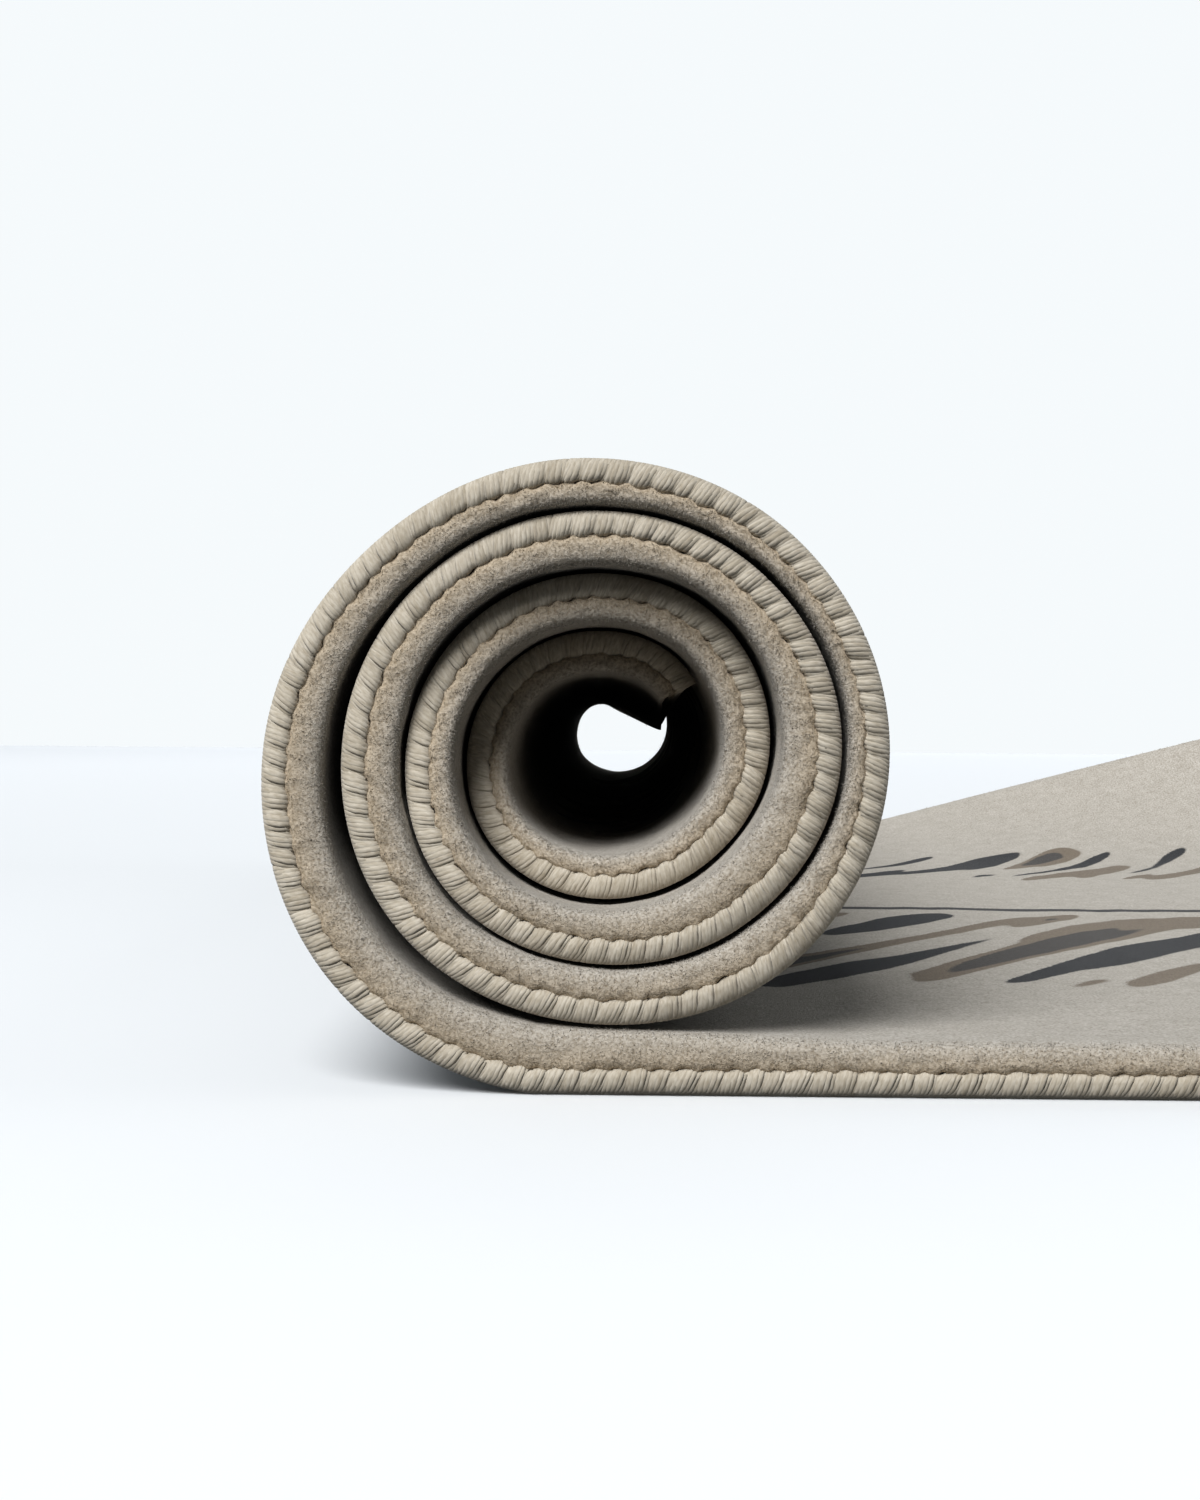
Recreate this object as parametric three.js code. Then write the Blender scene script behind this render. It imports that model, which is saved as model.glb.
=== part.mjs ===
// A hand-tufted wool carpet, rolled up with its pile inwards. The last stretch still lies flat on the floor,
// and the far corner of that stretch curls up. The carpet is one sheet of pile on its backing, and an
// overcast yarn binding runs along each of its four edges, tucked under the overhanging pile.
//
// Millimetres, +Z up. The origin is on the floor, under the roll's axis, at the middle of its length.
// The roll lies along Y, and the flat stretch leaves it towards +X.
//
// A place on the carpet is given as it was before it was rolled: "along" runs from the outer end, which lies
// on the floor, to the inner end in the middle of the roll, "across" runs from the near edge to the far one,
// and "height" is measured from the back up into the pile.
import * as THREE from "three";

// The carpet as it is cut
const CARPET_LENGTH = 1800;
const CARPET_WIDTH = 900;
const FLAT_THICKNESS = 14;
const NEAR_EDGE = -CARPET_WIDTH / 2;
const FAR_EDGE = CARPET_WIDTH / 2;

// The edge: a yarn binding lies in the step under the rim of the pile
const BINDING_WIDTH = 8;
const BINDING_HEIGHT = 6.2;
const SEAT_GAP = 0.3;
const PILE_UNDERSIDE = BINDING_HEIGHT + SEAT_GAP;
const BACKING_INSET = BINDING_WIDTH + SEAT_GAP;

// The roll, with angles in degrees counted on through its turns from the point under its axis
const AXIS_HEIGHT = 85.75;
const EIGHTH = 45;
const FLOOR_LEAVING_ANGLE = 8;
const STEP_ANGLE = 10;

// Past this angle the innermost stretch lies tight against the turn round it at the near edge only
const LOOSENING_ANGLE = 1125;

// At the far edge it ends in a loose flap: where that leaves the winding, how it bends, and how far the pile
// at its tip leans
const FLAP_ANGLE = 1232;
const FLAP_LENGTH = 52.5;
const FLAP_BEND_LENGTH = 20;
const FLAP_BEND_ANGLE = 50;
const FLAP_LEAN_ANGLE = 30;

// One row for each eighth of a turn, from the floor inwards: the distances of the back and of the pile from
// the roll's axis, and how far the near edge has slid into the roll there.
const WINDING = [
  { back: 86.6, pile: 69.0, slide: 0 },
  { back: 85.6, pile: 68.9, slide: 0 },
  { back: 80.3, pile: 64.6, slide: 0 },
  { back: 74.6, pile: 60.9, slide: 0 },
  { back: 74.8, pile: 62.7, slide: 0 },
  { back: 77.2, pile: 66.2, slide: 1 },
  { back: 78.2, pile: 67.4, slide: 1 },
  { back: 75.3, pile: 61.2, slide: 1 },
  { back: 68.0, pile: 54.0, slide: 1 },
  { back: 64.4, pile: 49.9, slide: 2 },
  { back: 60.7, pile: 46.0, slide: 2 },
  { back: 59.7, pile: 45.3, slide: 2 },
  { back: 61.7, pile: 47.7, slide: 2 },
  { back: 65.0, pile: 51.4, slide: 2 },
  { back: 66.2, pile: 50.4, slide: 2 },
  { back: 60.1, pile: 44.3, slide: 2 },
  { back: 52.9, pile: 39.3, slide: 3 },
  { back: 48.8, pile: 35.7, slide: 4 },
  { back: 44.9, pile: 32.4, slide: 7 },
  { back: 44.2, pile: 31.7, slide: 11 },
  { back: 46.6, pile: 33.8, slide: 15 },
  { back: 50.1, pile: 37.2, slide: 18 },
  { back: 49.0, pile: 36.4, slide: 20 },
  { back: 43.2, pile: 31.4, slide: 22 },
  { back: 38.1, pile: 26.4, slide: 25 },
  { back: 34.5, pile: 23.0, slide: 30 },
  { back: 31.2, pile: 19.7, slide: 37 },
];

// The rows that follow at the near edge and at the far one
const TIGHT_WINDING = [
  ...WINDING,
  { back: 30.9, pile: 19.4, slide: 44 },
  { back: 33.0, pile: 21.4, slide: 51 },
  { back: 36.4, pile: 24.8, slide: 57 },
  { back: 35.6, pile: 24.0, slide: 62 },
];
const LOOSE_WINDING = [
  ...WINDING,
  { back: 29.8, pile: 18.2, slide: 44 },
  { back: 27.8, pile: 16.2, slide: 51 },
];

// The flat stretch: the pile stands taller in the nip, where the roll leaves the floor, and settles past it
const NIP_LENGTH = 80;

// The far corner of the flat stretch starts to curl at these places and is highest at its tip
const CURL_START_X = 70;
const CURL_EASE = 80;
const CURL_START_ACROSS = 236;
const CURL_LENGTH = FAR_EDGE - CURL_START_ACROSS;
const CURL_RISE_PER_MM = 0.287;

// Where the surface is divided: from the outer end, along the flat stretch as distances from the roll's axis,
// along the flap as shares of its length, and across the carpet
const OUTER_END_STATION = 14;
const FLAT_STATIONS = [445, 420, 390, 360, 330, 300, 270, 240, 210, 180, 150, 115, 80, 40];
const FLAP_SHARES = [0.06, 0.2, 0.33, 0.46, 0.59, 0.71, 0.83];
const ACROSS_STATIONS = [-438, -300, -150, 0, 120, CURL_START_ACROSS, 296, 350, 396, 438];

// The rim of the pile, from its top round to the edge of the backing. Height is above the back, or below the
// top of the pile where fromTop is set, so that the rim follows a pile that is pressed flatter.
const RIM = [
  { inset: 5.0, height: 0, fromTop: true },
  { inset: 1.8, height: 1.2, fromTop: true },
  { inset: 0.8, height: 3.4, fromTop: true },
  { inset: 1.0, height: PILE_UNDERSIDE, fromTop: false },
  { inset: BACKING_INSET, height: PILE_UNDERSIDE, fromTop: false },
  { inset: BACKING_INSET, height: 0, fromTop: false },
];

// The binding's section, as a rounded bar with a flat back, going round from its inner lower corner
const BINDING_SECTION = [
  { inset: BINDING_WIDTH, height: 0 },
  { inset: BINDING_WIDTH, height: BINDING_HEIGHT },
  { inset: 2.4, height: BINDING_HEIGHT },
  { inset: 0.7, height: 5.2 },
  { inset: 0, height: 3.2 },
  { inset: 0.7, height: 1.1 },
  { inset: 2.4, height: 0 },
];

// Dense cut wool, matt and warm grey
function woolPile() {
  return new THREE.MeshStandardMaterial({ color: 0xaca69a, roughness: 0.95, metalness: 0 });
}

// Plied wool yarn, a shade lighter and a little smoother than the pile
function woolYarn() {
  return new THREE.MeshStandardMaterial({ color: 0xb9b1a1, roughness: 0.9, metalness: 0 });
}

const radians = THREE.MathUtils.degToRad;

// A value of a winding table at any angle, on a smooth curve through its rows.
function winding(table, angle, column) {
  const place = Math.min(Math.max(angle / EIGHTH, 0), table.length - 1);
  const row = Math.min(Math.floor(place), table.length - 2);
  const value = (i) => table[Math.min(Math.max(i, 0), table.length - 1)][column];
  const startSlope = row === 0 ? 0 : (value(row + 1) - value(row - 1)) / 2;
  const endSlope = (value(row + 2) - value(row)) / 2;
  const t = place - row;
  const rise = value(row + 1) - value(row);
  const bend = startSlope * (1 - t) - endSlope * t + rise * (2 * t - 1);
  return value(row) + rise * t + t * (1 - t) * bend;
}

// The back of the roll at an angle, clockwise from the bottom, pressed flat where it meets the floor.
function rolledBack(table, angle) {
  const turned = radians(angle);
  const radius = winding(table, angle, "back");
  const x = -radius * Math.sin(turned);
  const z = Math.max(AXIS_HEIGHT - radius * Math.cos(turned), 0);
  return new THREE.Vector2(x, z);
}

// The way along the back of the roll at an angle, as a unit vector that points further into the roll.
function rolledHeading(table, angle) {
  const half = 0.5;
  return rolledBack(table, angle + half).sub(rolledBack(table, angle - half)).normalize();
}

// The length of the back, summed in small steps, from the point under the axis to each angle of a table.
const MEASURING_STEP = 0.5;
function rolledLengths(table) {
  const lengths = [0];
  for (let angle = MEASURING_STEP; angle <= (table.length - 1) * EIGHTH; angle += MEASURING_STEP) {
    const chord = rolledBack(table, angle).distanceTo(rolledBack(table, angle - MEASURING_STEP));
    lengths.push(lengths.at(-1) + chord);
  }
  return lengths;
}

const TIGHT_LENGTHS = rolledLengths(TIGHT_WINDING);
const LOOSE_LENGTHS = rolledLengths(LOOSE_WINDING);
const FLAP_START = LOOSE_LENGTHS[FLAP_ANGLE / MEASURING_STEP];
const ROLLED_LENGTH = FLAP_START + FLAP_LENGTH;
const FLAT_LENGTH = CARPET_LENGTH - ROLLED_LENGTH;
const LOOSENING_LENGTH = TIGHT_LENGTHS[LOOSENING_ANGLE / MEASURING_STEP];

// The angle of the roll at a length along its back.
function angleAt(lengths, wanted) {
  const found = lengths.findIndex((length) => length >= wanted);
  const after = Math.max(found, 1);
  const share = (wanted - lengths[after - 1]) / (lengths[after] - lengths[after - 1]);
  return (after - 1 + share) * MEASURING_STEP;
}

// The carpet's thickness in the roll: as the table says, and less where the back is pressed flat.
function rolledThickness(table, angle) {
  const squashed = angle < FLOOR_LEAVING_ANGLE ? AXIS_HEIGHT / Math.cos(radians(angle)) : Infinity;
  return Math.min(winding(table, angle, "back"), squashed) - winding(table, angle, "pile");
}

// The section of the roll at its near edge, at a length along its back: where the back is, the way it runs,
// how thick the carpet is and how far it has slid.
function tightSection(length) {
  const angle = angleAt(TIGHT_LENGTHS, length);
  return {
    back: rolledBack(TIGHT_WINDING, angle),
    heading: rolledHeading(TIGHT_WINDING, angle),
    thickness: rolledThickness(TIGHT_WINDING, angle),
    slide: winding(TIGHT_WINDING, angle, "slide"),
  };
}

// The same at its far edge. The flap there is stiff: it bends away from the roll, runs straight across it and
// stops short of the far wall, with the pile at its tip leaning towards that wall.
function looseSection(length) {
  const angle = Math.min(angleAt(LOOSE_LENGTHS, Math.min(length, FLAP_START)), FLAP_ANGLE);
  const past = Math.max(length - FLAP_START, 0);
  const bent = Math.min(past, FLAP_BEND_LENGTH);
  const straight = past - bent;
  const turned = -radians(FLAP_BEND_ANGLE) * (bent / FLAP_BEND_LENGTH);
  const leaning = radians(FLAP_LEAN_ANGLE) * (straight / (FLAP_LENGTH - FLAP_BEND_LENGTH));
  const bendRadius = FLAP_BEND_LENGTH / radians(FLAP_BEND_ANGLE);
  const chord = 2 * bendRadius * Math.sin(-turned / 2);
  const headingAfter = (turn) => rolledHeading(LOOSE_WINDING, angle).rotateAround(new THREE.Vector2(), turn);
  const back = rolledBack(LOOSE_WINDING, angle);
  back.addScaledVector(headingAfter(turned / 2), chord);
  back.addScaledVector(headingAfter(turned), straight);
  return {
    back,
    heading: headingAfter(turned + leaning),
    thickness: rolledThickness(LOOSE_WINDING, angle),
  };
}

// The section of the roll at any place across it: as at the near edge, and past the loosening a straight run
// from the near edge's section to the far edge's.
function sectionAt(along, across) {
  const length = along - FLAT_LENGTH;
  const section = tightSection(length);
  if (length <= LOOSENING_LENGTH) return section;
  const loose = looseSection(length);
  const share = (across - NEAR_EDGE) / CARPET_WIDTH;
  section.back.lerp(loose.back, share);
  section.heading.lerp(loose.heading, share).normalize();
  section.thickness = THREE.MathUtils.lerp(section.thickness, loose.thickness, share);
  return section;
}

// The flat stretch: its floor face is level, its far corner curls up, and the cloth keeps its own length.
function onFlat(along, across, height) {
  const x = FLAT_LENGTH - along;
  const past = Math.max(x - CURL_START_X, 0);
  const eased = past < CURL_EASE ? past ** 2 / (2 * CURL_EASE) : past - CURL_EASE / 2;
  const tip = CURL_RISE_PER_MM * eased;
  const tipSlope = CURL_RISE_PER_MM * Math.min(past / CURL_EASE, 1);
  const share = Math.max((across - CURL_START_ACROSS) / CURL_LENGTH, 0);
  const drawnIn = ((2 / 3) * tip ** 2 * share ** 3) / CURL_LENGTH;
  const up = new THREE.Vector3(-tipSlope * share ** 2, (-2 * tip * share) / CURL_LENGTH, 1).normalize();
  return new THREE.Vector3(x, across - drawnIn, tip * share ** 2).addScaledVector(up, height);
}

// The roll: height goes from the back towards the axis, square to the way the back runs.
function onRoll(along, across, height) {
  const { back, heading, slide } = sectionAt(along, across);
  return new THREE.Vector3(back.x + heading.y * height, across + slide, back.y - heading.x * height);
}

// A place on the carpet as it was cut, taken to where it lies once the carpet is rolled.
function placed(along, across, height) {
  return along <= FLAT_LENGTH ? onFlat(along, across, height) : onRoll(along, across, height);
}

// The carpet's thickness: even on the flat stretch, thicker at the nip, and as the section says in the roll.
function thicknessAt(along, across) {
  if (along > FLAT_LENGTH) return sectionAt(along, across).thickness;
  const nipThickness = rolledThickness(TIGHT_WINDING, 0);
  const share = THREE.MathUtils.smoothstep(FLAT_LENGTH - along, 0, NIP_LENGTH);
  return THREE.MathUtils.lerp(nipThickness, FLAT_THICKNESS, share);
}

// Every division along the carpet but its two ends.
function alongStations() {
  const flat = FLAT_STATIONS.map((x) => FLAT_LENGTH - x);
  const rolled = [];
  for (let angle = FLOOR_LEAVING_ANGLE; angle < FLAP_ANGLE; angle += STEP_ANGLE) {
    rolled.push(FLAT_LENGTH + LOOSE_LENGTHS[angle / MEASURING_STEP]);
  }
  const flap = FLAP_SHARES.map((share) => FLAT_LENGTH + FLAP_START + share * FLAP_LENGTH);
  return [OUTER_END_STATION, ...flat, ...rolled, ...flap];
}

// A closed mesh from points and from four-sided faces, each given by its corners in turn.
function closedMesh(name, material, points, faces) {
  const geometry = new THREE.BufferGeometry();
  geometry.setAttribute("position", new THREE.Float32BufferAttribute(points.flatMap((p) => p.toArray()), 3));
  geometry.setIndex(faces.flatMap(([a, b, c, d]) => (d === undefined ? [a, b, c] : [a, b, c, a, c, d])));
  geometry.computeVertexNormals();
  const mesh = new THREE.Mesh(geometry, material);
  mesh.name = name;
  return mesh;
}

// The pile and its backing as one sheet: a grid of points for the pile's face and one for the back, and rings
// of points down the rim between them.
function carpet() {
  const along = alongStations();
  const points = [];
  const faces = [];
  const columns = ACROSS_STATIONS.length + 2;
  const rows = along.length + 2;

  const gridPoint = (rim, row, column) => {
    const station = [rim.inset, ...along, CARPET_LENGTH - rim.inset][row];
    const across = [NEAR_EDGE + rim.inset, ...ACROSS_STATIONS, FAR_EDGE - rim.inset][column];
    const height = rim.fromTop ? thicknessAt(station, across) - rim.height : rim.height;
    return placed(station, across, height);
  };

  // The rim goes once round the grid: the near edge, the inner end, the far edge and the outer end.
  const loop = [];
  for (let row = 0; row < rows - 1; row += 1) loop.push([row, 0]);
  for (let column = 0; column < columns - 1; column += 1) loop.push([rows - 1, column]);
  for (let row = rows - 1; row > 0; row -= 1) loop.push([row, columns - 1]);
  for (let column = columns - 1; column > 0; column -= 1) loop.push([0, column]);

  const addGrid = (rim, flipped) => {
    const first = points.length;
    const at = (row, column) => first + row * columns + column;
    for (let row = 0; row < rows; row += 1) {
      for (let column = 0; column < columns; column += 1) points.push(gridPoint(rim, row, column));
    }
    for (let row = 0; row < rows - 1; row += 1) {
      for (let column = 0; column < columns - 1; column += 1) {
        const face = [at(row, column), at(row, column + 1), at(row + 1, column + 1), at(row + 1, column)];
        faces.push(flipped ? face.reverse() : face);
      }
    }
    return loop.map(([row, column]) => at(row, column));
  };

  const top = addGrid(RIM[0], false);
  const bottom = addGrid(RIM.at(-1), true);
  const between = RIM.slice(1, -1).map((rim) =>
    loop.map(([row, column]) => points.push(gridPoint(rim, row, column)) - 1),
  );
  const rings = [top, ...between, bottom];
  for (let ring = 0; ring < rings.length - 1; ring += 1) {
    for (let i = 0; i < loop.length; i += 1) {
      const next = (i + 1) % loop.length;
      faces.push([rings[ring][i], rings[ring][next], rings[ring + 1][next], rings[ring + 1][i]]);
    }
  }
  return closedMesh("carpet", woolPile(), points, faces);
}

// One binding: its section carried through a list of stations and closed at both ends. The function place
// turns a station, an inset from the edge and a height into a point.
function binding(name, stations, place, flipped) {
  const sides = BINDING_SECTION.length;
  const points = stations.flatMap((station) =>
    BINDING_SECTION.map(({ inset, height }) => place(station, inset, height)),
  );
  const faces = [];
  for (let i = 0; i < stations.length - 1; i += 1) {
    for (let side = 0; side < sides; side += 1) {
      const next = (side + 1) % sides;
      faces.push([i * sides + side, i * sides + next, (i + 1) * sides + next, (i + 1) * sides + side]);
    }
  }
  const last = (stations.length - 1) * sides;
  for (let side = 1; side < sides - 1; side += 1) {
    faces.push([0, side + 1, side]);
    faces.push([last, last + side, last + side + 1]);
  }
  return closedMesh(name, woolYarn(), points, flipped ? faces.map((face) => face.reverse()) : faces);
}

// The four bindings: the two long ones follow the whole winding, and the two short ones lie between them.
function bindings() {
  const along = [0, ...alongStations(), CARPET_LENGTH];
  const across = [NEAR_EDGE + BACKING_INSET, ...ACROSS_STATIONS, FAR_EDGE - BACKING_INSET];
  const onNear = (station, inset, height) => placed(station, NEAR_EDGE + inset, height);
  const onFar = (station, inset, height) => placed(station, FAR_EDGE - inset, height);
  const onOuter = (station, inset, height) => placed(inset, station, height);
  const onInner = (station, inset, height) => placed(CARPET_LENGTH - inset, station, height);
  return [
    binding("binding_near_edge", along, onNear, true),
    binding("binding_far_edge", along, onFar, false),
    binding("binding_outer_end", across, onOuter, false),
    binding("binding_inner_end", across, onInner, true),
  ];
}

const rolledCarpet = new THREE.Group();
rolledCarpet.add(carpet(), ...bindings());

export default rolledCarpet;
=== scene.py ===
import math

import bpy
import numpy as np
from mathutils import Euler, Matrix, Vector


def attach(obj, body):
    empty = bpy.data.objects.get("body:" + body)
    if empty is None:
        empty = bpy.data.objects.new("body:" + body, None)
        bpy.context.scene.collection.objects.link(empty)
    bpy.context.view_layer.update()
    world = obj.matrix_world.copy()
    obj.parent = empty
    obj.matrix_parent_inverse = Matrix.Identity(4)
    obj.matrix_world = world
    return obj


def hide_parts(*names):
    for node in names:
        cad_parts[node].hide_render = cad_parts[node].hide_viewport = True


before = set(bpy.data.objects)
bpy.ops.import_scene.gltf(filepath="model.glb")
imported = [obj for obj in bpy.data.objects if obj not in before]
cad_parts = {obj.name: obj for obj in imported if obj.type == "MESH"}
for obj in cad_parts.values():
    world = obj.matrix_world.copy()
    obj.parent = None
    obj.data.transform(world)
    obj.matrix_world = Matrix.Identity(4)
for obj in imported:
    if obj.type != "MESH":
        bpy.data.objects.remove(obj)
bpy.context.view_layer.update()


# The carpet is one sheet of hand-tufted wool: dense cut pile on a canvas backing that is glued to it.
# It is rolled pile inwards, its outer stretch is left flat on the floor, and one corner of that curls up.
# Lengths are in millimetres, taken on the carpet as it was cut: along it, across it, and up from its back.
MM = 0.001
CARPET_WIDTH = 900.0
CARPET_LENGTH = 1800.0
FLAT_THICKNESS = 14.0
NEAR_EDGE = -CARPET_WIDTH / 2
FAR_EDGE = CARPET_WIDTH / 2
PILE_UNDERSIDE = 6.5
BACKING_INSET = 8.3
AXIS_HEIGHT = 85.75
EIGHTH = 45.0
FLOOR_LEAVING_ANGLE = 8.0
NIP_LENGTH = 80.0
FLAP_ANGLE = 1232.0
FLAP_LENGTH = 52.5
FLAP_BEND_LENGTH = 20.0
FLAP_BEND_ANGLE = 50.0
FLAP_LEAN_ANGLE = 30.0
CURL_START_X = 70.0
CURL_EASE = 80.0
CURL_START_ACROSS = 236.0
CURL_LENGTH = FAR_EDGE - CURL_START_ACROSS
CURL_RISE_PER_MM = 0.287

# One row for each eighth of a turn, from the floor inwards: distances of the back and of the pile from the
# roll's axis, and how far the near edge has slid into the roll.
BACK, PILE, SLIDE = range(3)
WINDING = np.array([
    [86.6, 69.0, 0], [85.6, 68.9, 0], [80.3, 64.6, 0], [74.6, 60.9, 0],
    [74.8, 62.7, 0], [77.2, 66.2, 1], [78.2, 67.4, 1], [75.3, 61.2, 1],
    [68.0, 54.0, 1], [64.4, 49.9, 2], [60.7, 46.0, 2], [59.7, 45.3, 2],
    [61.7, 47.7, 2], [65.0, 51.4, 2], [66.2, 50.4, 2], [60.1, 44.3, 2],
    [52.9, 39.3, 3], [48.8, 35.7, 4], [44.9, 32.4, 7], [44.2, 31.7, 11],
    [46.6, 33.8, 15], [50.1, 37.2, 18], [49.0, 36.4, 20], [43.2, 31.4, 22],
    [38.1, 26.4, 25], [34.5, 23.0, 30], [31.2, 19.7, 37],
])

# The innermost stretch stays tight against the turn round it at the near edge, and has come loose at the far.
TIGHT_WINDING = np.vstack([WINDING, [[30.9, 19.4, 44], [33.0, 21.4, 51], [36.4, 24.8, 57], [35.6, 24.0, 62]]])
LOOSE_WINDING = np.vstack([WINDING, [[29.8, 18.2, 44], [27.8, 16.2, 51]]])


def winding(table, angle, column):
    """A column of a winding table at any angle: a cubic through the rows, with the slope at each row taken
    from the rows on both sides of it, and level at the first row."""
    place = np.clip(np.asarray(angle, float) / EIGHTH, 0, len(table) - 1)
    row = np.minimum(place.astype(int), len(table) - 2)
    values = np.pad(table[:, column], 1, mode="edge")
    before, start, end, after = (values[row + i] for i in range(4))
    start_slope = np.where(row == 0, 0, (end - before) / 2)
    end_slope = (after - start) / 2
    t = place - row
    rise = end - start
    bend = start_slope * (1 - t) - end_slope * t + rise * (2 * t - 1)
    return start + rise * t + t * (1 - t) * bend


def rolled_back(table, angle):
    """The back of the roll, x and z in one complex number: the table's radius swung round the axis, and
    pressed level where it would go below the floor."""
    turned = np.radians(angle)
    radius = winding(table, angle, BACK)
    return -radius * np.sin(turned) + 1j * np.maximum(AXIS_HEIGHT - radius * np.cos(turned), 0)


def unit(vector):
    """Complex numbers brought to length one."""
    return vector / np.abs(vector)


def roll_section(table, last_angle):
    """The roll to its last angle, in quarter degrees: lengths along the back, the back's x and z, the way it
    runs there, the slide, and the thickness, which is less where the back is pressed level."""
    angle = np.arange(0, last_angle + 0.1, 0.25)
    back = rolled_back(table, angle)
    heading = unit(rolled_back(table, angle + 0.5) - rolled_back(table, angle - 0.5))
    length = np.concatenate([[0], np.cumsum(np.abs(np.diff(back)))])
    pressed = AXIS_HEIGHT / np.cos(np.radians(np.minimum(angle, FLOOR_LEAVING_ANGLE)))
    radius = np.where(angle < FLOOR_LEAVING_ANGLE, np.minimum(winding(table, angle, BACK), pressed),
                      winding(table, angle, BACK))
    return length, back, heading, winding(table, angle, SLIDE), radius - winding(table, angle, PILE)


def loose_flap(back, heading, past):
    """The stiff flap past the end of the loose winding: a bend, then a straight run, with the direction of
    the pile leaning on towards the tip. Gives the back's x and z and the way it runs."""
    bent = np.minimum(past, FLAP_BEND_LENGTH)
    straight = past - bent
    turned = -np.radians(FLAP_BEND_ANGLE) * bent / FLAP_BEND_LENGTH
    lean = np.radians(FLAP_LEAN_ANGLE) * np.minimum(straight / (FLAP_LENGTH - FLAP_BEND_LENGTH), 1)
    chord = 2 * FLAP_BEND_LENGTH / math.radians(FLAP_BEND_ANGLE) * np.sin(-turned / 2)
    flap = back + heading * (chord * np.exp(0.5j * turned) + straight * np.exp(1j * turned))
    return flap, heading * np.exp(1j * (turned + lean))


TIGHT_LAST_ANGLE = (len(TIGHT_WINDING) - 1) * EIGHTH
PATH_STEP = 0.5
SOFTENING_STEPS = 16
SOFTENING_WIDTH = 6.0


def carpet_paths():
    """The carpet's back at its near edge and at its far one, in even steps along it from the outer end to the
    inner. Each path has the back's x and z, the direction of height (both complex), slide and thickness.
    Height's direction and the thickness are softened along the path by a bell-shaped window."""
    tight_section = roll_section(TIGHT_WINDING, TIGHT_LAST_ANGLE)
    tight_length, tight_back, tight_heading, slide, tight_thick = tight_section
    loose_length, loose_back, loose_heading, _, loose_thick = roll_section(LOOSE_WINDING, FLAP_ANGLE)
    flat_length = CARPET_LENGTH - loose_length[-1] - FLAP_LENGTH
    spare = 30.0
    past = np.arange(1.0, FLAP_LENGTH + spare)
    flap, flap_heading = loose_flap(loose_back[-1], loose_heading[-1], past)

    flat_x = np.arange(flat_length + spare, 0, -1.0)
    settled = np.clip(flat_x / NIP_LENGTH, 0, 1)
    settled = settled**2 * (3 - 2 * settled)
    flat_thick = tight_thick[0] * (1 - settled) + FLAT_THICKNESS * settled

    along = np.arange(1 - spare, CARPET_LENGTH + spare - 1, PATH_STEP)
    window = np.exp(-0.5 * (np.arange(-SOFTENING_STEPS, SOFTENING_STEPS + 1) / SOFTENING_WIDTH) ** 2)

    def soften(line):
        return np.convolve(np.pad(line, SOFTENING_STEPS, mode="edge"), window / window.sum(), "valid")

    def even(length, back, heading, slide, thick):
        known = np.concatenate([flat_length - flat_x, flat_length + length])

        def lay(flat, rolled):
            return np.interp(along, known, np.concatenate([flat, rolled]))

        return (lay(flat_x + 0j, back), unit(soften(lay(1j + 0 * flat_x, -1j * heading))),
                lay(0 * flat_x, slide), soften(lay(flat_thick, thick)))

    tight = even(*tight_section)
    whole_length = np.concatenate([loose_length, loose_length[-1] + past])
    loose = even(whole_length, np.concatenate([loose_back, flap]),
                 np.concatenate([loose_heading, flap_heading]),
                 np.interp(whole_length, tight_length, slide),
                 np.concatenate([loose_thick, np.full(len(past), loose_thick[-1])]))
    return along, tight, loose, flat_length


PATH_ALONG, TIGHT_PATH, LOOSE_PATH, FLAT_LENGTH = carpet_paths()
PATH_BACK, PATH_HEIGHT_WAY, PATH_SLIDE, PATH_THICKNESS = range(4)


def on_path(column, along, across):
    """A column of the two paths at a place on the carpet: a straight run from the near edge's value to the
    far edge's."""
    share = np.clip((across - NEAR_EDGE) / CARPET_WIDTH, 0, 1)
    tight = np.interp(along, PATH_ALONG, TIGHT_PATH[column])
    return tight + share * (np.interp(along, PATH_ALONG, LOOSE_PATH[column]) - tight)


def thickness(along, across):
    """The carpet's thickness at a place on it."""
    return on_path(PATH_THICKNESS, along, across)


def placed(along, across, height):
    """Where a place on the carpet lies, in metres: on the path's back, then up the path's own direction of
    height. On the flat stretch the far corner is lifted by the square of its distance past the start of the
    curl, drawn in so that the cloth keeps its length, and its height direction tips with the slope."""
    along, across, height = np.broadcast_arrays(along, across, height)
    point = on_path(PATH_BACK, along, across)
    square = unit(on_path(PATH_HEIGHT_WAY, along, across))
    past = np.maximum(point.real - CURL_START_X, 0) * (along < FLAT_LENGTH)
    tip = CURL_RISE_PER_MM * np.where(past < CURL_EASE, past**2 / (2 * CURL_EASE), past - CURL_EASE / 2)
    tip_slope = CURL_RISE_PER_MM * np.minimum(past / CURL_EASE, 1)
    share = np.maximum((across - CURL_START_ACROSS) / CURL_LENGTH, 0)
    up = np.stack([square.real - tip_slope * share**2, -2 * tip * share / CURL_LENGTH, square.imag], axis=-1)
    up /= np.linalg.norm(up, axis=-1, keepdims=True)
    y = across + on_path(PATH_SLIDE, along, across) - 2 / 3 * tip**2 * share**3 / CURL_LENGTH
    back = np.stack([point.real, y, point.imag + tip * share**2], axis=-1)
    return (back + up * height[..., None]) * MM


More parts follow.
